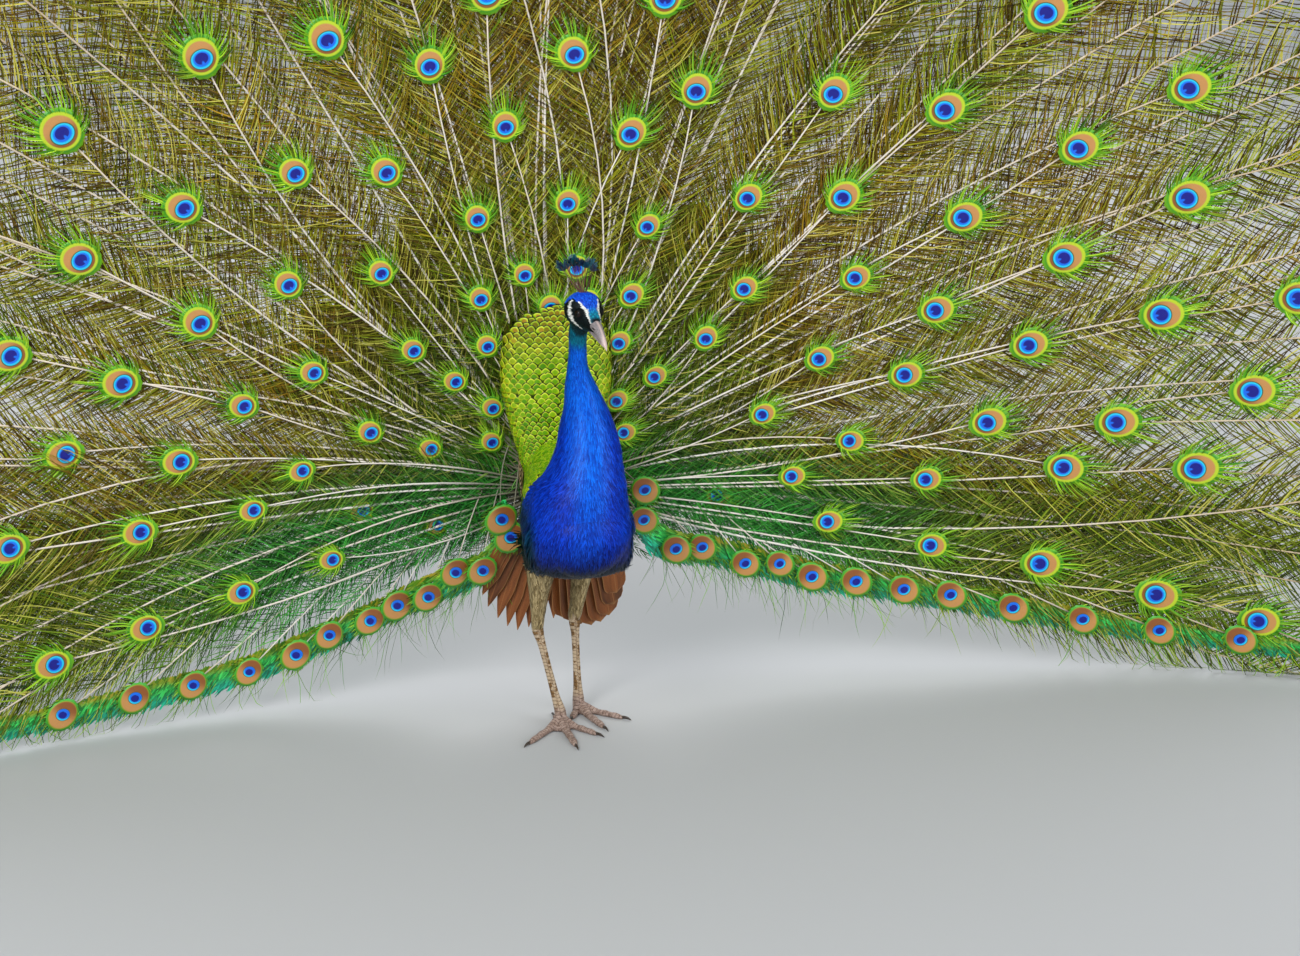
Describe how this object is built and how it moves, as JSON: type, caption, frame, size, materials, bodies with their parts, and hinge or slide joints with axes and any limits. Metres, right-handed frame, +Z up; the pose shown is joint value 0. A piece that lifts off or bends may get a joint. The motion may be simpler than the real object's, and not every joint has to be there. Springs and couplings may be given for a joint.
{
  "type": "peacock",
  "caption": "Life-size Indian peafowl cock standing on both feet with its train raised in a full fan, as a museum model.",
  "frame": {"origin": "on the floor, under the middle of the whole bird's box", "axes": "+Z up, the bird faces -Y, its own left side is +X"},
  "size_m": [2.3692, 0.4325, 1.7327],
  "materials": {
    "blue_plumage": "glossy azure and cobalt body feathers over flesh, structural sheen, black-green face and white face stripes",
    "back_scales": "stiff rounded golden-green back feathers with dark rims",
    "train_vanes": "loose bronze-olive and green barbs on pale shafts, with copper, turquoise and indigo eyespots",
    "train_band": "dense emerald fringe along the lower edge of the train",
    "crest": "bare brown shafts with blue-green tips",
    "wing_coverts": "buff feathers barred with dark brown",
    "flight_feathers": "chestnut flight feathers with fine pale shafts",
    "tail_feathers": "stiff grey-brown tail feathers",
    "undertail_down": "soft grey-brown down",
    "thigh_plumage": "short buff-brown feathers over flesh",
    "leg_skin": "horny scutes, pale buff with brown patches, grey-pink toes",
    "claw": "dark smooth horn",
    "bill": "grey horn, paler to the tip",
    "eye": "dark brown wet eyeball"
  },
  "bodies": {
    "root": {"eye_left": "eye", "eye_right": "eye", "bill_upper": "bill", "bill_lower": "bill", "head": "blue_plumage", "neck": "blue_plumage", "trunk": "blue_plumage", "back_shield": "back_scales", "crest": "crest", "wing_left": "wing_coverts", "wing_right": "wing_coverts", "primaries_left": "flight_feathers", "primaries_right": "flight_feathers", "train_band_left": "train_band", "train_band_right": "train_band", "tail": "tail_feathers", "undertail": "undertail_down", "thigh_left": "thigh_plumage", "thigh_right": "thigh_plumage", "shank_left": "leg_skin", "shank_right": "leg_skin", "foot_left": "leg_skin", "foot_right": "leg_skin", "claw_left_outer": "claw", "claw_left_middle": "claw", "claw_left_inner": "claw", "claw_left_hind": "claw", "claw_right_outer": "claw", "claw_right_middle": "claw", "claw_right_inner": "claw", "claw_right_hind": "claw", "train_1": "train_vanes", "train_2": "train_vanes", "train_3": "train_vanes", "train_4": "train_vanes", "train_5": "train_vanes", "train_6": "train_vanes", "train_7": "train_vanes", "train_8": "train_vanes", "train_9": "train_vanes"}
  },
  "joints": []
}
